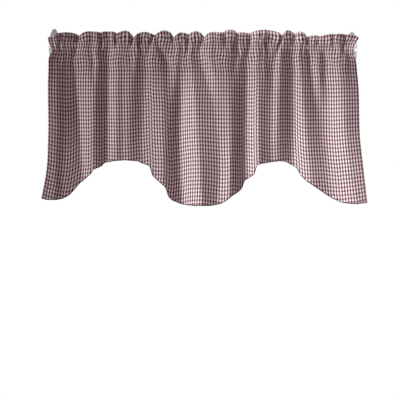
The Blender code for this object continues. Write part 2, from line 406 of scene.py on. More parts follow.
def through(places: Sequence[float], values: Sequence[float], where: Array) -> Array:
    """Soft curve through values given at places.

    Args:
        places: rising places.
        values: one value for each place.
        where: places to read the curve at; it goes straight on past both ends.

    Returns:
        The values there.
    """
    places, values = np.asarray(places, float), np.asarray(values, float)
    slopes = np.gradient(values, places)
    i = np.clip(np.searchsorted(places, where) - 1, 0, len(places) - 2)
    step = places[i + 1] - places[i]
    t = (np.clip(where, places[0], places[-1]) - places[i]) / step
    curve = cubic((values[i], values[i + 1]), (slopes[i] * step, slopes[i + 1] * step), t)
    before = np.minimum(where - places[0], 0.0) * slopes[0]
    after = np.maximum(where - places[-1], 0.0) * slopes[-1]
    return curve + before + after


def by_height(table: Sequence[NamedTuple], column: str, z: Array) -> Array:
    """Read one column of a table of heights.

    Args:
        table: rows that have a z.
        column: name of the column.
        z: heights to read it at.

    Returns:
        The column's values there.
    """
    rows = sorted(table, key=lambda row: row.z)
    return through([row.z for row in rows], [getattr(row, column) for row in rows], z)


def soften(row: Array, passes: int = SOFTEN_PASSES) -> Array:
    """Round the kinks of a row.

    Args:
        row: values by column.
        passes: how often each is averaged with its neighbours.

    Returns:
        The rounded row, its ends kept.
    """
    for _ in range(passes):
        inner = row[..., :-2] * 0.25 + row[..., 1:-1] * 0.5 + row[..., 2:] * 0.25
        row = np.concatenate([row[..., :1], inner, row[..., -1:]], axis=-1)
    return row


class Layout:
    """Columns of the cloth's mesh and the fold line at the left of each."""

    def __init__(self, width: float) -> None:
        """Lay the columns out.

        Args:
            width: widest column, in millimetres.
        """
        side = (0.0, 0.0, 0.0)
        lines = [Line(side, SIDE_OUT[0], 1.0, 0.2), *LINES, Line(side, SIDE_OUT[1], 1.0, 1.0)]
        self.places, self.out, self.before, self.after = (np.array(part, float) for part in zip(*lines))
        self.curves = np.polyfit((UPPER_Z, MIDDLE_Z, LOWER_Z), self.places.T, 2)
        middle = self.places[:, 1].copy()
        middle[0] = by_height(SIDE_EDGES, "left", MIDDLE_Z)
        middle[-1] = by_height(SIDE_EDGES, "right", MIDDLE_Z)
        line: list[int] = []
        part: list[float] = []
        for i, span in enumerate(np.diff(middle)):
            steps = max(2, math.ceil(span / width))
            line += [i] * steps
            part += [k / steps for k in range(steps)]
        self.line = np.array(line + [len(middle) - 2])
        self.part = np.array(part + [1.0])

    def line_x(self, number: Array, z: Array) -> Array:
        """Place along the rod of fold lines.

        Args:
            number: which line each column wants.
            z: height of each column's point.

        Returns:
            The lines' places there.
        """
        z = np.minimum(z, UPPER_Z)
        square, linear, constant = self.curves[:, number]
        return (square * z + linear) * z + constant

    def drape(self, z: Array, tuck: Union[float, Array] = 0.0) -> tuple[Array, Array]:
        """Place of one row's points.

        Args:
            z: height of each column's point.
            tuck: how far the side edges are drawn in.

        Returns:
            Place along the rod, and height of the fold above the mean sheet.
        """
        high = smooth(MIDDLE_Z, UPPER_Z, z)
        low = 1.0 - smooth(LOWER_Z, MIDDLE_Z, z)
        ends = []
        for k in (self.line, self.line + 1):
            x = self.line_x(k, z)
            x = np.where(k == 0, by_height(SIDE_EDGES, "left", z) + tuck, x)
            x = np.where(k == len(self.places) - 1, by_height(SIDE_EDGES, "right", z) - tuck, x)
            out = self.out[k, 0] * high + self.out[k, 1] * (1.0 - high - low) + self.out[k, 2] * low
            ends.append((x, out))
        (x0, out0), (x1, out1) = ends
        rise = out1 - out0
        slopes = rise * self.after[self.line], rise * self.before[self.line + 1]
        fold = cubic((out0, out1), slopes, self.part)
        return soften(x0 + (x1 - x0) * self.part), soften(fold)

    def along(self, z: float) -> Array:
        """Distance of each column along the cloth from its left side, at one height."""
        x, out = front_sheet(self, np.full(len(self.line), z))
        return np.concatenate([[0.0], np.cumsum(np.hypot(np.diff(x), np.diff(out)))])


def creased(rows: Sequence[Crease], x: Array, z: Array, across: bool = False) -> Array:
    """Depth of short folds.

    Args:
        rows: the folds.
        x: places along the rod.
        z: heights.
        across: True for folds that run across the cloth, False for those that run down it.

    Returns:
        Their depth at each place.
    """
    depth = np.zeros(np.broadcast(x, z).shape)
    for row in rows:
        start, end = (row.start_x, row.start_z), (row.end_x, row.end_z)
        if across:
            place, side, fades = x, z, ACROSS_FADES
        else:
            place, side, fades = z, x, DOWN_FADES
            start, end = start[::-1], end[::-1]
        t = (place - start[0]) / (end[0] - start[0])
        middle = start[1] + (end[1] - start[1]) * np.clip(t, *LEANS)
        fade = smooth(*fades[:2], t) * (1.0 - smooth(*fades[2:], t))
        depth += row.deep * fade * np.exp(-(((side - middle) / row.wide) ** 2))
    return depth


def front_sheet(layout: Layout, z: Array) -> tuple[Array, Array]:
    """Front of the cloth with its main folds.

    Args:
        layout: the columns.
        z: height of each column's point.

    Returns:
        Place along the rod, and distance out.
    """
    x, fold = layout.drape(z)
    out = by_height(FRONT, "out", z) + by_height(FRONT, "share", z) * fold
    return x, on_rod(out - creased(GATHERS, x, z), z)


def on_rod(out: Array, z: Array) -> Array:
    """Keep the front sheet off the rod.

    Args:
        out: how far out the folds would go.
        z: heights.

    Returns:
        The same, resting softly on the rod where it would go through it.
    """
    face = ROD_FACE * np.sqrt(np.clip(1.0 - (z / ROD_REACH) ** 2, 0.0, 1.0))
    near = 1.0 - smooth(ROD_REACH, ROD_REACH * 2, abs(z))
    pressed = face + PRESS_SOFTNESS * np.logaddexp(0.0, (out - face) / PRESS_SOFTNESS)
    return out + (pressed - out) * near


def top_edge(x: Array) -> Array:
    """Height of the ruffled top edge.

    Args:
        x: places along the rod.

    Returns:
        The edge's height there: lobes that meet in notches.
    """
    notch_x = [LEFT_CORNER[0]] + [lobe.notch_x for lobe in LOBES]
    notch_z = [LEFT_CORNER[1]] + [lobe.notch_z for lobe in LOBES]
    i = np.clip(np.searchsorted(notch_x, x) - 1, 0, len(LOBES) - 1)
    left, right = np.take(notch_x, i), np.take(notch_x, i + 1)
    t = np.clip((x - left) / (right - left), 0.0, 1.0)
    base = np.take(notch_z, i) * (1.0 - t) + np.take(notch_z, i + 1) * t
    top = np.take([lobe.top_z for lobe in LOBES], i)
    return base + (top - base) * np.sin(math.pi * t) ** LOBE_POWER


def lower_edge(layout: Layout) -> Array:
    """Height of the scalloped edge.

    Args:
        layout: the columns.

    Returns:
        The edge's height at each column, from where the column meets it.
    """
    z = np.full(len(layout.line), LOWER_Z)
    for _ in range(EDGE_ROUNDS):
        x = layout.drape(z)[0]
        z = (z + np.interp(x, [point.x for point in HEM], [point.z for point in HEM])) / 2
    return soften(z, EDGE_SOFTEN_PASSES)


# ---- Shader expressions ----

Number = Union[float, "Wire"]


def node_method(operation: str, swapped: bool = False) -> Callable[..., "Wire"]:
    """Make a method that adds a Math node.

    Args:
        operation: the node's operation.
        swapped: True where the wire is the node's last value.

    Returns:
        The method.
    """

    def method(wire: "Wire", *others: Number) -> "Wire":
        """The node's result."""
        values = (*others, wire) if swapped else (wire, *others)
        return wire.sketch.math(operation, *values)

    return method


class Wire:
    """A number in a shader: an expression on it adds Math nodes."""

    def __init__(self, sketch: "Sketch", socket: Socket) -> None:
        """Wrap a socket of a sketch."""
        self.sketch = sketch
        self.socket = socket

    __add__, __radd__ = node_method("ADD"), node_method("ADD", True)
    __sub__, __rsub__ = node_method("SUBTRACT"), node_method("SUBTRACT", True)
    __mul__, __rmul__ = node_method("MULTIPLY"), node_method("MULTIPLY", True)
    __truediv__ = node_method("DIVIDE")
    __abs__ = node_method("ABSOLUTE")
    fract = node_method("FRACT")
    sine = node_method("SINE")
    least = node_method("MINIMUM")
    most = node_method("MAXIMUM")

    def clamped(self) -> "Wire":
        """Kept from 0 to 1."""
        return self.least(1.0).most(0.0)


Value = Union[float, Sequence[float], Wire, Socket]


class Sketch:
    """The node tree of a new material or world while it is drawn."""

    def __init__(self, owner: Union[Material, bpy.types.World]) -> None:
        """Start with an empty tree.

        Args:
            owner: the material or world that is drawn.
        """
        owner.use_nodes = True
        self.owner = owner
        self.tree = owner.node_tree
        self.tree.nodes.clear()

    @classmethod
    def material(cls, name: str) -> "Sketch":
        """A new material's sketch."""
        return cls(bpy.data.materials.new(name))

    def add(
        self,
        kind: str,
        settings: Optional[Mapping[str, Any]] = None,
        inputs: Optional[Mapping[Union[str, int], Value]] = None,
    ) -> bpy.types.Node:
        """Add any node.

        Args:
            kind: the node's type.
            settings: its own settings, set first.
            inputs: values or links of its sockets, by name or number.

        Returns:
            The node.
        """
        node = self.tree.nodes.new(kind)
        for name, value in (settings or {}).items():
            setattr(node, name, value)
        for name, value in (inputs or {}).items():
            socket = value.socket if isinstance(value, Wire) else value
            if isinstance(socket, Socket):
                self.tree.links.new(socket, node.inputs[name])
            else:
                node.inputs[name].default_value = socket
        return node

    def math(self, operation: str, *values: Number) -> Wire:
        """Result of a Math node."""
        node = self.add("ShaderNodeMath", {"operation": operation}, dict(enumerate(values)))
        return Wire(self, node.outputs[0])

    def mix(self, share: Number, first: Value, second: Value) -> Socket:
        """Mix of two colours: share is 0 for the first and 1 for the second."""
        node = self.add("ShaderNodeMix", {"data_type": "RGBA"}, {"Factor": share, 6: first, 7: second})
        return node.outputs[2]

    def noise(self, place: Value, scale: float, detail: float = 2.0) -> Wire:
        """Noise of about 0 to 1 at a place, with scale bumps to a unit and detail finer layers."""
        node = self.add("ShaderNodeTexNoise", None, {"Vector": place, "Scale": scale, "Detail": detail})
        return Wire(self, node.outputs["Fac"])

    def spot(self) -> Socket:
        """The object's own coordinates."""
        return self.add("ShaderNodeTexCoord").outputs["Object"]

    def place(self, x: Number, y: Number) -> Socket:
        """A flat place made of two numbers."""
        return self.add("ShaderNodeCombineXYZ", None, {"X": x, "Y": y}).outputs[0]

    def bump(self, height: Wire, depth: float, strength: float = 0.5) -> Socket:
        """Normal of a height from 0 to 1 that stands for depth metres, shown at a share of its strength."""
        inputs = {"Height": height, "Distance": depth, "Strength": strength}
        return self.add("ShaderNodeBump", None, inputs).outputs[0]

    def finish(self, surface: Mapping[str, Value]) -> Material:
        """End the tree in one shader.

        Args:
            surface: values or links of the shader's sockets.

        Returns:
            The material.
        """
        shader = self.add("ShaderNodeBsdfPrincipled", None, surface)
        self.add("ShaderNodeOutputMaterial", None, {"Surface": shader.outputs[0]})
        return self.owner


# ---- Finishes ----


@dataclass(frozen=True)
class Gingham:
    """Plain-woven checked cotton: equal dyed and bleached stripes in both directions."""

    repeat_across: float = 9.9 * MM
    repeat_down: float = 12.7 * MM
    yarn: float = 0.42 * MM
    stripe_edge: float = 18.0
    sway: float = 0.9 * MM
    sway_across: tuple = (9.0, 5.0)
    sway_down: tuple = (6.0, 9.0)
    sway_apart: float = 7.0
    warp_share: float = 0.66
    crossing: float = 0.32
    slub: float = 0.28
    slubs_along: float = 22.0
    slubs_a_yarn: float = 0.9
    wear: float = 0.12
    wear_per_metre: float = 14.0
    raised: float = 0.18 * MM
    over_height: float = 0.3
    slub_height: float = 0.35
    bleached: tuple = (0.82, 0.72, 0.74)
    crossed: tuple = (0.370, 0.228, 0.246)
    dyed: tuple = (0.060, 0.008, 0.013)
    roughness: float = 0.9

    def stripes(self, place: Wire, repeat: float) -> Wire:
        """1 on a dyed stripe and 0 on a bleached one, where a pair of them is one repeat wide."""
        swing = abs((place / repeat).fract() - 0.5)
        return ((0.25 - swing) * self.stripe_edge + 0.5).clamped()

    def material(self) -> Material:
        """The finish as a material that follows the cloth's own UV map, which is in metres.

        Returns:
            The material.
        """
        s = Sketch.material("checked cotton")
        spot = s.add("ShaderNodeSeparateXYZ", None, {0: s.add("ShaderNodeUVMap").outputs[0]})
        u, v = Wire(s, spot.outputs[0]), Wire(s, spot.outputs[1])
        (across_u, across_v), (down_u, down_v) = self.sway_across, self.sway_down
        sway_u = (s.noise(s.place(u * across_u, v * across_v), 1.0) - 0.5) * self.sway
        sway_v = (s.noise(s.place(u * down_u + self.sway_apart, v * down_v), 1.0) - 0.5) * self.sway
        warp = self.stripes(u + sway_u, self.repeat_across)
        weft = self.stripes(v + sway_v, self.repeat_down)
        over = (u * (math.pi / self.yarn)).sine() * (v * (math.pi / self.yarn)).sine()
        warp_slub = s.noise(s.place(u / self.yarn * self.slubs_a_yarn, v * self.slubs_along), 1.0)
        weft_slub = s.noise(s.place(u * self.slubs_along, v / self.yarn * self.slubs_a_yarn), 1.0)
        warp_dye, weft_dye = (1.0 - self.slub / 2 + self.slub * slub for slub in (warp_slub, weft_slub))
        on_top = self.warp_share + over * self.crossing
        dye = warp * warp_dye * on_top + weft * weft_dye * (1.0 - on_top)
        lighter = s.mix((dye * 2.0).clamped(), (*self.bleached, 1.0), (*self.crossed, 1.0))
        woven = s.mix((dye * 2.0 - 1.0).clamped(), lighter, (*self.dyed, 1.0))
        faded = s.noise(s.place(u * self.wear_per_metre, v * self.wear_per_metre), 1.0, 3.0)
        value = 1.0 - self.wear / 2 + self.wear * faded
        worn = s.add("ShaderNodeHueSaturation", None, {"Value": value, "Color": woven}).outputs[0]
        slubs = (warp_slub - 0.5) * self.slub_height + (weft_slub - 0.5) * self.slub_height
        height = 0.5 + over * self.over_height + slubs
        return s.finish(
            {
                "Base Color": worn,
                "Roughness": self.roughness,
                "Specular IOR Level": 0.12,
                "Sheen Weight": 0.04,
                "Sheen Roughness": 0.6,
                "Normal": s.bump(height, self.raised, 0.6),
            }
        )


@dataclass(frozen=True)
class Mottled:
    """A finish that drifts between two colours, from spun thread to plated steel."""

    name: str
    low: tuple
    high: tuple
    per_metre: float
    roughness: float
    detail: float = 3.0
    roughness_drift: float = 0.0
    metallic: float = 0.0
    gloss: float = 0.5
    sheen: float = 0.0
    raised: float = 0.0

    def material(self) -> Material:
        """The finish as a material on object coordinates.

        Returns:
            The material.
        """
        s = Sketch.material(self.name)
        cloud = s.noise(s.spot(), self.per_metre, self.detail)
        return s.finish(
            {
                "Base Color": s.mix(cloud, (*self.low, 1.0), (*self.high, 1.0)),
                "Metallic": self.metallic,
                "Roughness": self.roughness + cloud * self.roughness_drift,
                "Specular IOR Level": self.gloss,
                "Sheen Weight": self.sheen,
                "Normal": s.bump(cloud, self.raised),
            }
        )


@dataclass(frozen=True)
class Paint:
    """Satin paint or moulded plastic, with a fine orange peel and faint rubbed places."""

    name: str
    colour: tuple
    roughness: float = 0.38
    darker: float = 0.9
    clouds_per_metre: float = 18.0
    rubs_per_metre: float = 60.0
    rubs_above: float = 0.62
    rub_edge: float = 9.0
    peel: float = 2.2 * MM
    peel_deep: float = 0.05 * MM

    def material(self) -> Material:
        """The finish as a material on object coordinates.

        Returns:
            The material.
        """
        s = Sketch.material(self.name)
        spot = s.spot()
        cloud = s.noise(spot, self.clouds_per_metre, 3.0)
        rubbed = ((s.noise(spot, self.rubs_per_metre, 4.0) - self.rubs_above) * self.rub_edge).clamped()
        darker = tuple(self.darker * c for c in self.colour)
        return s.finish(
            {
                "Base Color": s.mix(cloud * 0.5 + rubbed * 0.35, (*self.colour, 1.0), (*darker, 1.0)),
                "Roughness": self.roughness + cloud * 0.08 + rubbed * 0.14,
                "Normal": s.bump(s.noise(spot, 1.0 / self.peel, 1.0), self.peel_deep),
            }
        )


THREAD = Mottled(
    "spun thread",
    low=(0.0341, 0.0087, 0.0118),
    high=(0.055, 0.014, 0.019),
    per_metre=1111.0,
    roughness=0.75,
    gloss=0.15,
    sheen=0.03,
    raised=0.1 * MM,
)
STEEL = Mottled(
    "plated steel",
    low=(0.62, 0.62, 0.60),
    high=(0.45, 0.45, 0.42),
    per_metre=900.0,
    roughness=0.28,
    roughness_drift=0.2,
    metallic=1.0,
)
BOARD = Mottled(
    "pale floor",
    low=(0.86, 0.86, 0.86),
    high=(0.834, 0.834, 0.834),
    per_metre=3.0,
    roughness=0.8,
    detail=2.0,
)
ROD_PAINT = Paint("rod paint", (0.78, 0.79, 0.80), 0.42)
BRACKET_PAINT = Paint("bracket paint", (0.79, 0.85, 0.92), 0.36)


# ---- Helpers for pieces ----


def free_hands() -> None:
    """Leave edit mode and deselect everything."""
    if bpy.context.object and bpy.context.object.mode != "OBJECT":
        bpy.ops.object.mode_set(mode="OBJECT")
    bpy.ops.object.select_all(action="DESELECT")


def added(primitive: Callable, **settings: Any) -> Piece:
    """Add a primitive, with its place, turn and scale applied to its mesh.

    Args:
        primitive: its operator.
        settings: the operator's settings.

    Returns:
        The new piece, alone selected.
    """
    free_hands()
    primitive(**settings)
    bpy.ops.object.transform_apply(location=True, rotation=True, scale=True)
    return bpy.context.object


def edit_all() -> None:
    """Go into edit mode with everything selected."""
    bpy.ops.object.mode_set(mode="EDIT")
    bpy.ops.mesh.select_all(action="SELECT")


def dress(piece: Piece, finish: Any) -> None:
    """Give a piece its finish as its one material, and attach it to its body.

    Args:
        piece: a new piece.
        finish: a finish of this file.
    """
    piece.data.materials.clear()
    piece.data.materials.append(finish.material())
    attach(piece, "root")
    LOG.info("%s: %d faces", piece.name, len(piece.data.polygons))


class Pattern(NamedTuple):
    """A small shape that is repeated: its points in metres and its faces."""

    points: Array
    faces: list


def lift_pattern(piece: Piece) -> Pattern:
    """Take a modelled shape off the table.

    Args:
        piece: the shape; it is removed.

    Returns:
        Its points and faces, sorted by place, as extruding leaves their order to chance.
    """
    mesh = piece.data
    points = np.array([v.co for v in mesh.vertices], float)
    order = np.lexsort(np.round(points / SORT_STEP).T)
    rank = np.argsort(order).tolist()
    faces = sorted(tuple(rank[i] for i in face.vertices) for face in mesh.polygons)
    bpy.data.objects.remove(piece)
    bpy.data.meshes.remove(mesh)
    return Pattern(points[order], faces)


def read_at(where: Array, reach: Array, values: Array) -> Array:
    """Rows of three values read at places along a line, as points by row."""
    return np.stack([np.interp(where, reach, column) for column in values.T], axis=1)


class Spots(NamedTuple):
    """Places for the copies of a pattern: an origin and three axes each."""

    origin: Array
    ahead: Array
    outward: Array
    upward: Array

    @classmethod
    def along(cls, line: Array, normals: Array, pitch: float) -> "Spots":
        """Spread places along a line on the cloth.

        Args:
            line: points of the line, in metres.
            normals: the cloth's outward direction at each point.
            pitch: distance between places.

        Returns:
            The places.
        """
        steps = np.linalg.norm(np.diff(line, axis=0), axis=1)
        reach = np.concatenate([[0.0], np.cumsum(steps)])
        count = int(reach[-1] / pitch)
        where = (np.arange(count) + 0.5) * reach[-1] / count
        origin, normal = read_at(where, reach, line), read_at(where, reach, normals)
        shift = LOOK_AHEAD * pitch
        ahead = unit(read_at(where + shift, reach, line) - read_at(where - shift, reach, line))
        outward = unit(normal - ahead * (normal * ahead).sum(1, keepdims=True))
        return cls(origin, ahead, outward, np.cross(ahead, -outward))

    def moved(self, outward: float) -> "Spots":
        """The same places moved off the cloth, in metres."""
        return self._replace(origin=self.origin + outward * self.outward)

    def copies(self, pattern: Pattern) -> tuple[Array, list]:
        """Copy a pattern to every place.

        Args:
            pattern: the shape, with +X ahead, -Y outward and +Z upward.

        Returns:
            Points and faces of all the copies.
        """
        axes = np.stack([self.ahead, -self.outward, self.upward], axis=1)
        points = self.origin[:, None, :] + np.einsum("pk,nkd->npd", pattern.points, axes)
        size = len(pattern.points)
        faces = [tuple(i + n * size for i in face) for n in range(len(self.origin)) for face in pattern.faces]
        return points.reshape(-1, 3), faces


def unit(vectors: Array) -> Array:
    """Vectors at length 1."""
    return vectors / np.maximum(np.linalg.norm(vectors, axis=-1, keepdims=True), 1e-12)


def joined(name: str, parts: Sequence[tuple[Array, list]]) -> Piece:
    """One object made of several lots of copies.

    Args:
        name: the object's name.
        parts: points and faces of each lot.

    Returns:
        The object, shaded smooth.
    """
    points: list[Array] = []
    faces: list[tuple] = []
    total = 0
    for lot, lot_faces in parts:
        points.append(lot)
        faces += [tuple(i + total for i in face) for face in lot_faces]
        total += len(lot)
    mesh = bpy.data.meshes.new(name)
    mesh.from_pydata(np.concatenate(points).tolist(), [], faces)
    mesh.shade_smooth()
    piece = bpy.data.objects.new(name, mesh)
    bpy.context.scene.collection.objects.link(piece)
    return piece


# ---- The cloth ----


class Row(Enum):
    """Rows of the cloth's mesh that other pieces are sewn to."""

    SEAM_BACK = "lower stitches, back sheet"
    STITCH_BACK = "upper stitches, back sheet"
    STITCH_FRONT = "upper stitches, front sheet"
    SEAM_FRONT = "lower stitches, front sheet"
    HEM = "cut edge"


class Ripple(NamedTuple):
    """Small waves whose spacing drifts to and fro, by an angle of drift that swings along the stitches."""

    deep: float
    long: float
    drift: float = 0.0
    drift_long: float = 1.0

    def at(self, place: Array, stitched: Array, turn: Union[float, Array] = 0.0) -> Array:
        """Height of the waves at places along them, each an angle of turn further on."""
        drift = self.drift * np.sin(stitched / self.drift_long)
        return self.deep * np.sin(TURN * place / self.long + drift + turn)


@dataclass
class Cloth:
    """The valance's one piece of cloth, turned over at the top and stitched into heading and pocket."""

    width: float = 1188.0
    thick: float = 0.5
    side_hem: float = 11.0
    side_hem_thick: float = 0.95
    side_hem_fade: float = 1.0
    level_step: float = 8.0
    threads: int = 401
    drawn_reach: float = 45.0
    even_reach: float = 90.0
    uneven_share: float = 0.08
    layer_gap: float = 0.8
    heading_puff: float = 1.8
    puckers: Ripple = Ripple(0.35, 9.5, 1.7, 17.0)
    pucker_reach: float = 7.0
    seam_reach: float = 4.0
    seam_closed: float = 0.6
    tuck_to_z: float = 9.0
    fine_folds: Ripple = Ripple(1.1, 24.0, 2.1, 71.0)
    fine_fades: tuple = ((0.25, -300.0, SEAM_Z), (0.75, -120.0, 0.0))
    crumples: Ripple = Ripple(1.8, 21.0)
    crumple_lean: Ripple = Ripple(2.4, TURN * 41.0)
    ruffle_rise: float = 18.0
    pocket_share: float = 0.5
    pocket_from_z: tuple = (-70.0, -8.0)
    pocket_to_z: tuple = (0.0, 10.0)
    swell: Ripple = Ripple(0.4, TURN * 23.0)
    sway: Ripple = Ripple(2.0, 84.0, 2.6, 31.0)
    sway_drift: Ripple = Ripple(1.9, TURN * 73.0)
    slant: Ripple = Ripple(0.9, 52.0, 2.4, 67.0)
    slant_lean: float = 21.0
    sway_inset: float = 45.0
    sway_from_z: tuple = (-105.0, -20.0)
    sway_to_z: tuple = (38.0, 54.0)
    sway_off_rod: float = 12.0

    def __post_init__(self) -> None:
        """Lay out the columns and work out every row."""
        self.layout = Layout(COLUMN_WIDTH)
        self.stitched = self.layout.along(STITCH_Z)
        self.marks: dict[Row, int] = {}
        self.grid = self.rows()
        self.across = self.measure_across()
        self.down = self.measure_down()

    def small_folds(self, z: Array) -> Array:
        """Folds too fine for the solid.

        Args:
            z: height of each column's point.

        Returns:
            How far they stand out.
        """
        s = self.stitched
        swell = 1.0 - self.swell.deep + self.swell.at(s, s, 1.0)
        puckered = self.puckers.at(s, s) * self.near_seams(z, self.pucker_reach)
        fade = sum(share * smooth(low, high, z) for share, low, high in self.fine_fades)
        lean = self.crumple_lean.at(s, s) * (z - STITCH_Z) / self.crumples.long
        above = smooth(STITCH_Z, STITCH_Z + self.ruffle_rise, z)
        below = self.pocket_share * smooth(*self.pocket_from_z, z) * (1.0 - smooth(*self.pocket_to_z, z))
        crumpled = self.crumples.at(s, s, lean) * (above + below)
        return swell * (puckered + self.fine_folds.at(s, s) * fade + crumpled)

    @staticmethod
    def near_seams(z: Array, reach: float) -> Array:
        """1 at the two lines of stitches, fading over a reach."""
        return np.exp(-(((z - STITCH_Z) / reach) ** 2)) + np.exp(-(((z - SEAM_Z) / reach) ** 2))

    def front(self, z: Array) -> Array:
        """Points of the front of the cloth at heights z, as x, out and z.

        Args:
            z: height of each column's point.

        Returns:
            The points, by column.
        """
        x, out = front_sheet(self.layout, z)
        out = out - creased(HEADING_GATHERS, x, z) + self.small_folds(z) + creased(PRESSES, x, z, across=True)
        return np.stack([x, on_rod(out, z), z], axis=-1)

    def pocket_back(self, z: Array) -> Array:
        """Points of the pocket's back sheet at heights z, as x, out and z.

        Args:
            z: height of each column's point.

        Returns:
            The points, by column.
        """
        tuck = by_height(SIDE_EDGES, "tuck", z) * (1.0 - smooth(self.tuck_to_z, STITCH_Z, z))
        x, fold = self.layout.drape(z, tuck)
        out = by_height(BACK, "out", z) + by_height(BACK, "share", z) * fold
        near = self.near_seams(z, self.seam_reach)
        drawn = creased(GATHERS, x, z) + creased(HEADING_GATHERS, x, z)
        out = out - drawn * np.minimum(near, 1.0) + self.small_folds(z)
        front = self.front(z)[:, 1] - self.layer_gap
        return np.stack([x, np.where(near > self.seam_closed, np.minimum(out, front), out), z], axis=-1)

    def heading(self, top: Array, t: float, back: bool) -> Array:
        """Points of one layer of the heading.

        Args:
            top: height of the top edge at each column.
            t: 0 at the stitches, 1 at the top fold.
            back: True for the layer behind.

        Returns:
            Points as x, out and z.
        """
        points = self.front(STITCH_Z + t * (top - self.layer_gap / 2 - STITCH_Z))
        if back:
            points[:, 1] -= self.layer_gap + self.heading_puff * math.sin(math.pi * t)
        return points

    def rows(self) -> Array:
        """Every row of the cloth from the hem up, over the top fold and down behind to the turned edge.

        Returns:
            Points in millimetres, by row and column, as x, out and z.
        """
        count = len(self.layout.line)
        top = top_edge(self.layout.drape(np.full(count, HEADING_Z))[0])
        hem = lower_edge(self.layout)
        level = [np.full(count, float(z)) for z in POCKET_FRONT_Z]
        rows = [self.front(SEAM_Z + step * (hem - SEAM_Z)) for step in np.linspace(1, 0, SKIRT_STEPS + 1)]
        self.marks[Row.HEM] = 0
        self.marks[Row.SEAM_FRONT] = len(rows) - 1
        rows += [self.front(z) for z in reversed(level[:-1])]
        self.marks[Row.STITCH_FRONT] = len(rows) - 1
        steps = np.arange(1, HEADING_STEPS + 1) / HEADING_STEPS
        rows += [self.heading(top, t, False) for t in steps]
        front_top, back_top = self.heading(top, 1.0, False), self.heading(top, 1.0, True)
        radius = self.layer_gap / 2
        for k in range(1, TOP_FOLD_STEPS + 1):
            turn = math.pi * k / (TOP_FOLD_STEPS + 1)
            bent = (front_top + back_top) / 2
            bent[:, 1] += radius * math.cos(turn)
            bent[:, 2] += radius * math.sin(turn)
            rows.append(bent)
        rows += [self.heading(top, t, True) for t in reversed(steps)]
        rows += [self.pocket_back(np.full(count, float(z))) for z in reversed(POCKET_BACK_Z)]
        self.marks[Row.STITCH_BACK] = len(rows) - len(POCKET_BACK_Z)
        self.marks[Row.SEAM_BACK] = len(rows) - 1 - POCKET_BACK_Z.index(SEAM_Z)
        return np.array(rows)

    @staticmethod
    def share_across(points: Array) -> Array:
        """Share of the width passed at each point of rows that run across, along their folds.

        Args:
            points: points of the rows, by column.

        Returns:
            The shares.
        """
        steps = np.hypot(np.diff(points[..., 0], axis=-1), np.diff(points[..., 1], axis=-1))
        reach = np.cumsum(steps, axis=-1)
        reach = np.concatenate([np.zeros_like(reach[..., :1]), reach], axis=-1)
        return reach / reach[..., -1:]

    def measure_across(self) -> Array:
        """Distance of every point across the cut cloth from its left side, in millimetres.

        Threads follow the folds in the skirt. From the pocket up they run straight, drawn only towards near
        puckers.

        Returns:
            The distances, by row and column.
        """
        count = len(self.layout.line)
        levels = np.arange(FRONT[-1].z, FRONT[0].z + self.level_step, self.level_step)
        points = np.array([self.front(np.full(count, z)) for z in levels])
        share = self.share_across(points)
        first = int(np.searchsorted(levels, STRAIGHT_Z))
        base = points[first, :, 0], share[first]
        share[first:] = self.drawn_near(share[first:], self.straight(points[first:], base))
        across = self.drawn_near(self.share_across(self.grid), self.straight(self.grid, base))
        for row in range(self.marks[Row.STITCH_BACK]):
            for column in range(count):
                across[row, column] = np.interp(self.grid[row, column, 2], levels, share[:, column])
        return across * self.width

    @staticmethod
    def straight(points: Array, base: tuple[Array, Array]) -> Array:
        """Share of the width passed at points whose threads run straight up.

        Args:
            points: points by row and column.
            base: place along the rod and share, at the height where the threads start to run straight.

        Returns:
            The shares.
        """
        x, share = base
        inner = (-STRAIGHT_TO, STRAIGHT_TO)
        rows = points[..., 0]
        below = [np.interp(row, (row[0], *inner, row[-1]), (x[0], *inner, x[-1])) for row in rows]
        return np.interp(below, x, share)

    def drawn_near(self, share: Array, straight: Array) -> Array:
        """Shares of the width with their far drift taken out.

        Args:
            share: share passed at each column, by row.
            straight: the same where the threads run straight.

        Returns:
            The straight shares, with what is drawn in near by.
        """
        middle = straight.mean(axis=0)
        reach = (middle[:, None] - middle) * self.width / self.drawn_reach
        weights = np.exp(-(reach**2))
        drift = share - straight
        near = drift - drift @ (weights / weights.sum(axis=0))
        edge = np.minimum(middle, 1.0 - middle) * self.width
        return straight + near * smooth(0.0, self.drawn_reach, edge)

    def measure_down(self) -> Array:
        """Distance of every point down the cloth from the upper stitches, in millimetres.

        Returns:
            The distances, by row and column.
        """
        threads = np.linspace(0.0, self.width, self.threads)
        at_threads = np.array([read_at(threads, *row) for row in zip(self.across, self.grid)])
        steps = np.linalg.norm(np.diff(at_threads, axis=0), axis=2)
        up = np.concatenate([np.zeros((1, len(threads))), np.cumsum(steps, axis=0)])
        down = up[self.marks[Row.STITCH_FRONT]] - up
        reach = np.abs(threads[:, None] - threads) / self.even_reach
        weights = np.exp(-(reach**2))
        even = down @ (weights / weights.sum(axis=0))
        down = even + (down - even) * self.uneven_share
        return np.array([np.interp(across, threads, row) for across, row in zip(self.across, down)])

    def in_metres(self) -> Array:
        """Every point in the frame's own metres, with the crumpled parts pushed about in their own plane.

        Returns:
            The points, by row and column.
        """
        x, out, z = np.moveaxis(self.grid, -1, 0)
        s = self.stitched
        inner = smooth(0, self.sway_inset, np.minimum(s, s.max() - s))
        shown = inner * smooth(*self.sway_from_z, z) * (1 - smooth(*self.sway_to_z, z))
        aside = shown * self.sway.at(z, s, self.sway_drift.at(s, s))
        off_rod = smooth(ROD_REACH, ROD_REACH + self.sway_off_rod, abs(z))
        upward = shown * self.sway.deep * off_rod * self.slant.at(s, s, z / self.slant_lean)
        return np.stack([x + aside, -(ROD_OUT + out), z + upward], axis=-1) * MM

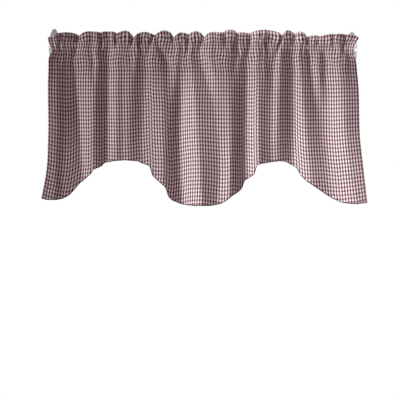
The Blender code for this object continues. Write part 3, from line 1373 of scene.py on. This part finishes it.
    def normals(self) -> Array:
        """Direction of the cloth's right side at every point.

        Returns:
            The directions, each of length 1.
        """
        points = self.in_metres()
        across = np.gradient(points, axis=1)
        upward = np.gradient(points, axis=0)
        return unit(np.cross(across, upward))

    def thickness_share(self) -> Array:
        """Share of the full thickness at every point: full at the two side hems.

        Returns:
            The shares, by row and column.
        """
        inner = np.minimum(self.across, self.width - self.across)
        plain = self.thick / self.side_hem_thick
        fold, fade = self.side_hem, self.side_hem_fade
        return 1.0 - (1.0 - plain) * smooth(fold - fade, fold + fade, inner)

    def build(self) -> Piece:
        """Make the cloth: a grid laid on its folds, then given its thickness.

        Returns:
            The cloth.
        """
        rows, cols = self.grid.shape[:2]
        steps = {"x_subdivisions": cols - 1, "y_subdivisions": rows - 1}
        cloth = added(bpy.ops.mesh.primitive_grid_add, size=2.0, **steps)
        cloth.name = cloth.data.name = "gingham_valance"
        mesh = cloth.data
        flat = np.empty(len(mesh.vertices) * 3)
        mesh.vertices.foreach_get("co", flat)
        flat = flat.reshape(-1, 3)
        col = np.rint((flat[:, 0] + 1) / 2 * (cols - 1)).astype(int)
        row = np.rint((flat[:, 1] + 1) / 2 * (rows - 1)).astype(int)
        mesh.vertices.foreach_set("co", self.in_metres()[row, col].ravel())
        corner = np.empty(len(mesh.loops), int)
        mesh.loops.foreach_get("vertex_index", corner)
        place = np.stack([self.across[row, col], -self.down[row, col]], axis=1) * MM
        mesh.uv_layers.active.uv.foreach_set("vector", place[corner].ravel())
        group = cloth.vertex_groups.new(name="thickness")
        share = np.round(self.thickness_share()[row, col], 2)
        for value in np.unique(share):
            group.add(np.flatnonzero(share == value).tolist(), float(value), "REPLACE")
        mesh.shade_smooth()
        body = cloth.modifiers.new("thickness", "SOLIDIFY")
        body.thickness = self.side_hem_thick * MM
        body.offset = 0.0
        body.vertex_group = group.name
        bpy.ops.object.modifier_apply(modifier=body.name)
        cloth.vertex_groups.clear()
        return cloth


@dataclass
class Sewing:
    """The threads: lock stitches along the seams and side hems, and the overlocked lower edge."""

    cloth: Cloth
    stitch_long: float = 2.3
    stitch_pitch: float = 3.0
    stitch_radius: float = 0.24
    stitch_full: float = 0.6
    stitch_taper: float = 0.45
    stitch_sunk: float = 0.65
    side_inset: float = 1.5
    wrap_radius: float = 0.55
    wrap_pitch: float = 1.15
    wrap_arm: float = 2.1
    wrap_turn: float = 0.5

    def stitch_pattern(self) -> Pattern:
        """One stitch: a short thread with drawn-in ends.

        Returns:
            The stitch.
        """
        piece = added(
            bpy.ops.mesh.primitive_cylinder_add,
            vertices=6,
            radius=self.stitch_radius * MM,
            depth=self.stitch_long * self.stitch_full * MM,
            rotation=(0, math.pi / 2, 0),
        )
        for side in (-1, 1):
            select_facing(piece, Vector((side, 0, 0)))
            reach = side * self.stitch_long * (1 - self.stitch_full) / 2 * MM
            bpy.ops.mesh.extrude_region_move(TRANSFORM_OT_translate={"value": (reach, 0, 0)})
            end = (side * self.stitch_long / 2 * MM, 0, -self.stitch_radius * 0.6 * MM)
            bpy.ops.transform.resize(value=(1, self.stitch_taper, self.stitch_taper), center_override=end)
            bpy.ops.object.mode_set(mode="OBJECT")
        return lift_pattern(piece)

    def wrap_pattern(self) -> Pattern:
        """One overlock thread: over the edge, with an arm up the front and one up the back.

        Returns:
            The thread.
        """
        piece = added(
            bpy.ops.mesh.primitive_circle_add,
            vertices=6,
            radius=self.wrap_radius * MM,
            fill_type="NGON",
            location=(0, -self.wrap_turn * MM, 0),
        )
        edit_all()
        bpy.ops.mesh.extrude_region_move(TRANSFORM_OT_translate={"value": (0, 0, -self.wrap_arm * MM)})
        bpy.ops.mesh.spin(steps=4, angle=math.pi, center=(0, 0, -self.wrap_arm * MM), axis=(1, 0, 0))
        bpy.ops.mesh.extrude_region_move(TRANSFORM_OT_translate={"value": (0, 0, self.wrap_arm * MM)})
        bpy.ops.mesh.select_all(action="SELECT")
        bpy.ops.mesh.remove_doubles(threshold=0.01 * MM)
        bpy.ops.mesh.normals_make_consistent(inside=False)
        bpy.ops.object.mode_set(mode="OBJECT")
        pattern = lift_pattern(piece)
        return pattern._replace(points=pattern.points + np.array([0, 0, self.wrap_arm * MM]))

    def side_columns(self) -> tuple[int, int]:
        """Columns that the side hems' stitches run down.

        Returns:
            The left and the right column.
        """
        across = self.cloth.across[0]
        inset = self.cloth.side_hem - self.side_inset
        return int(np.argmin(abs(across - inset))), int(np.argmin(abs(across[-1] - inset - across)))

    def build(self) -> list[Piece]:
        """Make the threads.

        Returns:
            The seams' stitches, and the overlocked edge.
        """
        points, normals = self.cloth.in_metres(), self.cloth.normals()
        stitch = self.stitch_pattern()
        lift = (self.cloth.thick / 2 + self.stitch_radius * (1 - self.stitch_sunk)) * MM
        high = lift + (self.cloth.side_hem_thick - self.cloth.thick) / 2 * MM
        marks = self.cloth.marks
        seams = [marks[row] for row in (Row.STITCH_FRONT, Row.SEAM_FRONT, Row.STITCH_BACK, Row.SEAM_BACK)]
        lines = [(points[k], normals[k], lift) for k in seams]
        for column in self.side_columns():
            down = slice(marks[Row.STITCH_FRONT] - 1, None, -1), column
            lines.append((points[down], normals[down], high))
        pitch = self.stitch_pitch * MM
        lots = [Spots.along(line, facing, pitch).moved(off).copies(stitch) for line, facing, off in lines]
        hem = marks[Row.HEM]
        edge = Spots.along(points[hem], normals[hem], self.wrap_pitch * MM)
        return [joined("seam_stitches", lots), joined("overlocked_edge", [edge.copies(self.wrap_pattern())])]


def select_facing(piece: Piece, direction: Vector) -> None:
    """Go into edit mode with only the faces that look one way selected.

    Args:
        piece: the piece.
        direction: the way they look.
    """
    bpy.context.view_layer.objects.active = piece
    bpy.ops.object.mode_set(mode="EDIT")
    bpy.ops.mesh.select_mode(type="FACE")
    bpy.ops.mesh.select_all(action="DESELECT")
    bpy.ops.object.mode_set(mode="OBJECT")
    for face in piece.data.polygons:
        face.select = face.normal.dot(direction) > 0.9
    bpy.ops.object.mode_set(mode="EDIT")


# ---- Rod, brackets and their screws ----


@dataclass
class Hardware:
    """Finish of the rod and the two brackets, and the screws that hold the plates."""

    plate_front: float = 3.5
    screw_from_middle: float = 30.0
    head_radius: float = 3.4
    head_high: float = 1.5
    head_round: float = 0.8
    head_sunk: float = 0.1
    recess_wide: float = 0.9
    recess_long: float = 3.8
    recess_deep: float = 0.9
    recess_round: float = 0.12
    sharp_degrees: float = 35.0

    def dress_nodes(self, nodes: Mapping[str, Piece]) -> None:
        """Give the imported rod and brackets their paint.

        Args:
            nodes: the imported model's nodes.
        """
        bracket = BRACKET_PAINT.material()
        paints = {"rod": ROD_PAINT.material(), "bracket_left": bracket, "bracket_right": bracket}
        for name, paint in paints.items():
            mesh = nodes[name].data
            mesh.materials.clear()
            mesh.materials.append(paint)
            LOG.info("%s: painted", name)

    def recess_tool(self, turned: float) -> Piece:
        """One bar of the cross recess, as a cutting tool.

        Args:
            turned: angle of the bar about the screw's axis.

        Returns:
            The tool.
        """
        size = (self.recess_long * MM, self.recess_deep * 2 * MM, self.recess_wide * MM)
        tool = added(bpy.ops.mesh.primitive_cube_add, size=1.0, rotation=(0, turned, 0), scale=size)
        edit_all()
        bpy.ops.mesh.bevel(offset=self.recess_round * MM, segments=2)
        bpy.ops.object.mode_set(mode="OBJECT")
        return tool

    def screw(self) -> Piece:
        """One round-headed screw, its head's base at the origin and its top towards -Y.

        Returns:
            The screw.
        """
        piece = added(
            bpy.ops.mesh.primitive_cylinder_add,
            vertices=32,
            radius=self.head_radius * MM,
            depth=self.head_high * MM,
            rotation=(math.pi / 2, 0, 0),
        )
        select_facing(piece, Vector((0, -1, 0)))
        bpy.ops.mesh.bevel(offset=self.head_round * MM, segments=4)
        bpy.ops.object.mode_set(mode="OBJECT")
        for turned in (0.0, math.pi / 2):
            tool = self.recess_tool(turned)
            tool.data.transform(Matrix.Translation((0, -self.head_high / 2 * MM, 0)))
            cut = piece.modifiers.new("recess", "BOOLEAN")
            cut.object = tool
            cut.operation = "DIFFERENCE"
            free_hands()
            bpy.context.view_layer.objects.active = piece
            bpy.ops.object.modifier_apply(modifier=cut.name)
            bpy.data.objects.remove(tool)
        piece.select_set(True)
        bpy.ops.object.shade_smooth_by_angle(angle=math.radians(self.sharp_degrees))
        return piece

    def build(self) -> list[Piece]:
        """Make the four screws on the brackets' plates.

        Returns:
            The screws.
        """
        first = self.screw()
        screws = []
        for side in ("left", "right"):
            low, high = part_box(f"bracket_{side}")
            middle = (low + high) / 2
            for end in (-1, 1):
                copy = first.copy()
                copy.data = first.data.copy()
                copy.name = copy.data.name = f"screw_{side}_{'upper' if end > 0 else 'lower'}"
                bpy.context.scene.collection.objects.link(copy)
                y = -(self.plate_front + self.head_high / 2 - self.head_sunk) * MM
                z = middle.z + end * self.screw_from_middle * MM
                copy.data.transform(Matrix.Translation((middle.x, y, z)))
                screws.append(copy)
        bpy.data.objects.remove(first)
        return screws


# ---- Studio ----


class Lamp(NamedTuple):
    """One lamp: its place, target and size are in metres, its power in watts and its beam in degrees."""

    name: str
    kind: str
    place: Sequence[float]
    target: Sequence[float]
    power: float
    size: tuple
    beam: float = 180.0
    blend: float = 1.0
    colour: tuple = (1.0, 1.0, 1.0)


@dataclass
class Studio:
    """Camera, lights, surroundings and floor."""

    distance: float = 5.0
    scale: float = 3.30 * MM
    image: int = 400
    rod_middle: tuple = (203.0, 48.3)
    roll: float = 0.0102
    cloth_plane: float = -0.080
    sensor: float = 36.0
    floor_z: float = -1.30
    floor_x: tuple = (-1.7, 1.7)
    floor_y: tuple = (-1.3, 0.75)
    key_distance: float = 10.0
    key_angles: tuple = ((50.0, 10.0), (58.0, 20.0), (66.0, 10.0), (72.0, 20.0))
    key_target: tuple = (1.25, -0.08, -0.85)
    key_power: float = 2340.0
    key_colour: tuple = (0.94, 1.0, 0.985)
    end_lamp_distance: float = 2.2
    end_lamp_aside: tuple = (0.45, 0.12)
    end_lamp_powers: tuple = (62.0, 120.0)
    sky_shown: float = 1.0
    sky_light: float = 0.118
    sky_tint: tuple = (1.36, 0.86, 0.90)

    def camera(self) -> None:
        """Long lens, level, square on to the cloth, with a slight roll."""
        half = self.image / 2
        right, down = half - self.rod_middle[0], half - self.rod_middle[1]
        x = self.scale * (right + down * self.roll)
        z = -self.scale * (down - right * self.roll)
        lens = bpy.data.cameras.new("camera")
        lens.sensor_width = self.sensor
        lens.lens = self.sensor * self.distance / (self.image * self.scale)
        lens.clip_end = 50.0
        camera = bpy.data.objects.new("camera", lens)
        camera.location = (x, self.cloth_plane - self.distance, z)
        camera.rotation_euler = (math.pi / 2, -self.roll, 0.0)
        bpy.context.scene.collection.objects.link(camera)
        bpy.context.scene.camera = camera

    def keys(self) -> list[Lamp]:
        """Bank of soft spots from far to the left, brightest at the lower right of the cloth.

        Returns:
            The lamps.
        """
        lamps = []
        for azimuth, elevation in self.key_angles:
            side, rise = math.radians(azimuth), math.radians(elevation)
            level = math.cos(rise)
            away = Vector((-math.sin(side) * level, -math.cos(side) * level, math.sin(rise)))
            place = away * self.key_distance
            lamp = Lamp("key", "SPOT", place, self.key_target, self.key_power, (0.3,), 11.0)
            lamps.append(lamp._replace(colour=self.key_colour))
        return lamps

    def end_lamps(self) -> list[Lamp]:
        """Two narrow lamps in front that pick out the brackets at the cloth's ends.

        Returns:
            The lamps.
        """
        lamps = []
        for name, power, side in zip(("bracket_left", "bracket_right"), self.end_lamp_powers, (-1, 1)):
            low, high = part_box(name)
            middle = (low + high) / 2
            aside, above = self.end_lamp_aside
            away = Vector((side * aside, -1.0, above)).normalized()
            place = middle + away * self.end_lamp_distance
            lamps.append(Lamp("end lamp", "SPOT", place, middle, power, (0.02,), 2.2, 0.6))
        return lamps

    def soft_lamps(self) -> list[Lamp]:
        """The area lamps: at the heading, behind the cloth, over the floor, and low on the right.

        Returns:
            The lamps.
        """
        floor, over_floor = (0.0, -0.28, self.floor_z), (0.0, -0.28, self.floor_z + 0.5)
        place, target = (-0.3, -1.25, 0.3), (0.0, -0.06, 0.09)
        heading = Lamp("heading lamp", "AREA", place, target, 0.127, (0.84, 0.05), 6.0)
        return [
            heading._replace(colour=self.key_colour),
            Lamp("behind", "AREA", (-0.6, 2.4, 0.5), (0.0, 0.0, -0.25), 26.0, (1.6, 1.6)),
            Lamp("over floor", "AREA", over_floor, floor, 8.0, (3.2, 1.9)),
            Lamp("fill", "AREA", (1.1, -1.3, -0.6), (0.3, self.cloth_plane, -0.3), 1.5, (0.9, 0.9)),
        ]

    @staticmethod
    def stand(lamp: Lamp) -> None:
        """Make a lamp where it stands, aimed and unseen by the camera.

        Args:
            lamp: the lamp.
        """
        data = bpy.data.lights.new(lamp.name, lamp.kind)
        data.energy = lamp.power
        data.color = lamp.colour
        if lamp.kind == "SPOT":
            data.spot_size = math.radians(lamp.beam)
            data.spot_blend = lamp.blend
            data.shadow_soft_size = lamp.size[0]
        else:
            data.shape = "RECTANGLE"
            data.size, data.size_y = lamp.size
            data.spread = math.radians(lamp.beam)
        light = bpy.data.objects.new(lamp.name, data)
        light.visible_camera = False
        light.location = lamp.place
        light.rotation_euler = (Vector(lamp.target) - Vector(lamp.place)).to_track_quat("-Z", "Y").to_euler()
        bpy.context.scene.collection.objects.link(light)

    def surroundings(self) -> None:
        """Surroundings that the camera sees as white, and that light the part more weakly."""
        world = bpy.data.worlds.new("studio")
        s = Sketch(world)
        seen = Wire(s, s.add("ShaderNodeLightPath").outputs["Is Camera Ray"])
        colour = s.mix(seen, (*self.sky_tint, 1.0), (1.0, 1.0, 1.0, 1.0))
        strength = self.sky_light + (self.sky_shown - self.sky_light) * seen
        sky = s.add("ShaderNodeBackground", None, {"Color": colour, "Strength": strength})
        s.add("ShaderNodeOutputWorld", None, {"Surface": sky.outputs[0]})
        bpy.context.scene.world = world

    def floor(self) -> None:
        """Plain pale floor below the hanging cloth."""
        floor = added(bpy.ops.mesh.primitive_plane_add, size=1.0)
        floor.name = "floor"
        for vertex in floor.data.vertices:
            right, back = vertex.co.x > 0, vertex.co.y > 0
            vertex.co = (self.floor_x[right], self.floor_y[back], self.floor_z)
        floor.data.materials.append(BOARD.material())

    def build(self) -> None:
        """Set up the whole studio."""
        self.camera()
        self.surroundings()
        for lamp in (*self.keys(), *self.end_lamps(), *self.soft_lamps()):
            self.stand(lamp)
        self.floor()
        bpy.context.scene.view_settings.view_transform = "Standard"
        LOG.info("studio is set")


def main() -> None:
    """Build the studio with its camera, then the cloth, its sewing and the hardware, in that order."""
    logging.basicConfig(level=logging.INFO, format="%(name)s: %(message)s")
    Studio().build()
    cloth = Cloth()
    piece = cloth.build()
    dress(piece, Gingham())
    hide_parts("valance")
    sewn = Sewing(cloth).build()
    for threads in sewn:
        dress(threads, THREAD)
    hardware = Hardware()
    hardware.dress_nodes(frame["nodes"])
    for screw in hardware.build():
        dress(screw, STEEL)


if __name__ == "__main__":
    main()
